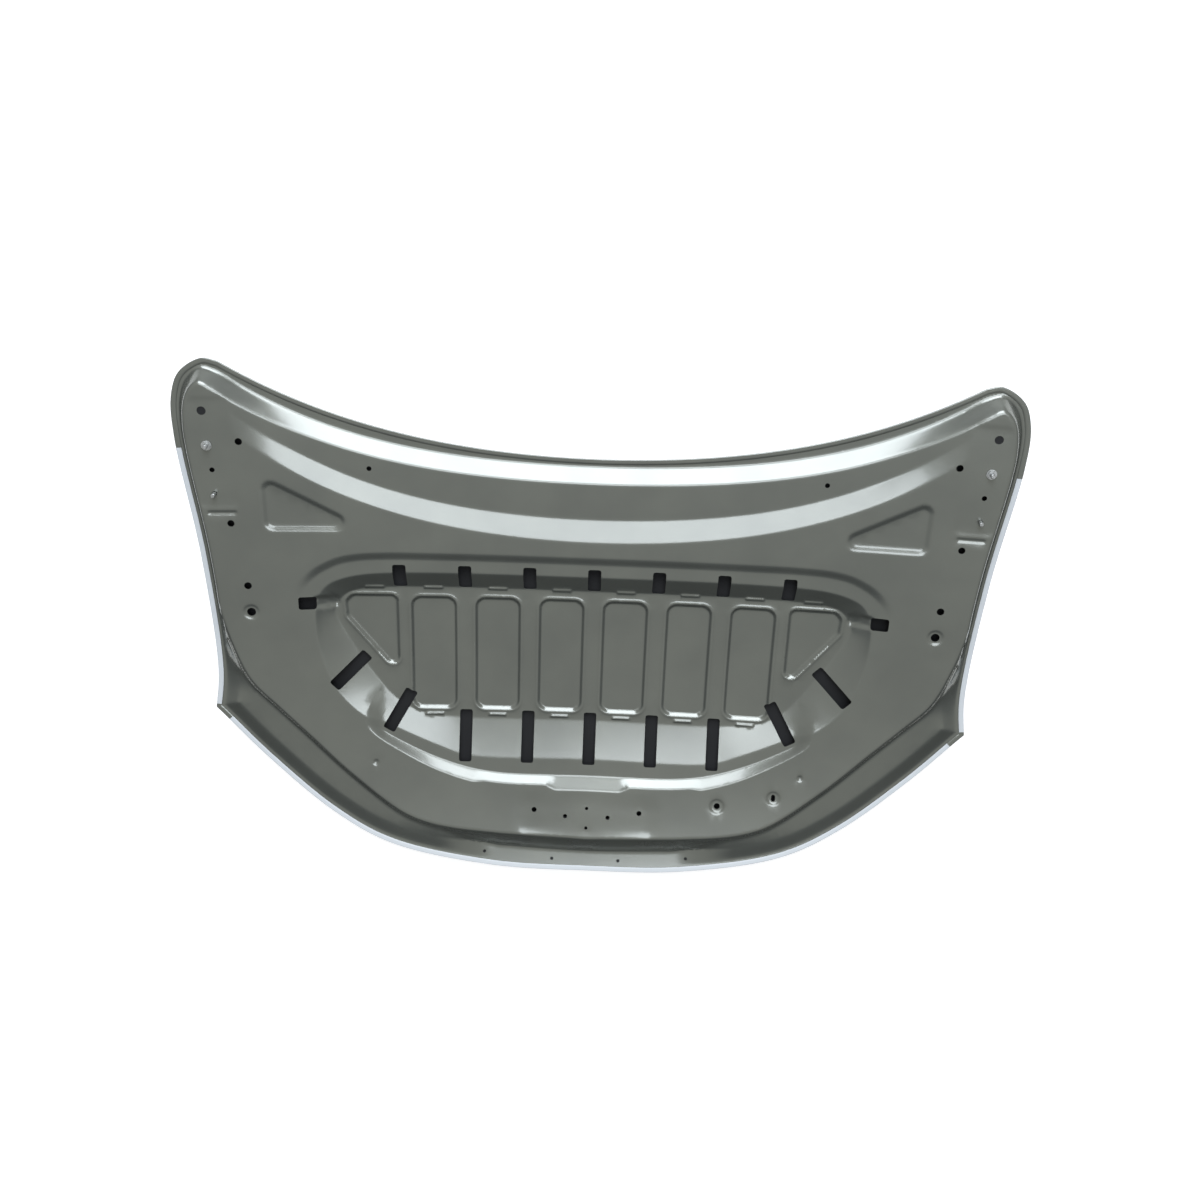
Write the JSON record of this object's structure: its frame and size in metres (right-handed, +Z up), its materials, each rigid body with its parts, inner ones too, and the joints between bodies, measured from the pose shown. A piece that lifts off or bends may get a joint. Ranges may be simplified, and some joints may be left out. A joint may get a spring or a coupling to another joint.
{
  "type": "car bonnet",
  "caption": "Steel car bonnet lying on its outer skin, with the pressed and slotted inner panel, hinge studs and latch seat facing up.",
  "frame": {"origin": "middle of the bounding box, at the height of the surface that the bonnet lies on", "axes": "+X across the car to the right in the picture, +Y towards the windscreen edge, +Z up, away from the outer skin"},
  "size_m": [1.5248, 1.0042, 0.1095],
  "materials": {
    "ecoat_steel": "semi-gloss grey primer",
    "zinc_steel": "bright zinc plating",
    "mastic": "matt cured mastic"
  },
  "bodies": {
    "root": {"outer_skin": "ecoat_steel", "inner_panel": "ecoat_steel", "hinge_reinforcement_right": "ecoat_steel", "hinge_reinforcement_left": "ecoat_steel", "striker_reinforcement": "ecoat_steel", "hinge_stud_rear_right": "zinc_steel", "hinge_stud_front_right": "zinc_steel", "hinge_nut_right": "zinc_steel", "hinge_stud_rear_left": "zinc_steel", "hinge_stud_front_left": "zinc_steel", "hinge_nut_left": "zinc_steel", "striker_weld_nut_left": "zinc_steel", "striker_weld_nut_right": "zinc_steel", "mastic_pad_1": "mastic", "mastic_pad_2": "mastic", "mastic_pad_3": "mastic", "mastic_pad_4": "mastic", "mastic_pad_5": "mastic", "mastic_pad_6": "mastic", "mastic_pad_7": "mastic", "mastic_pad_8": "mastic"}
  },
  "joints": []
}
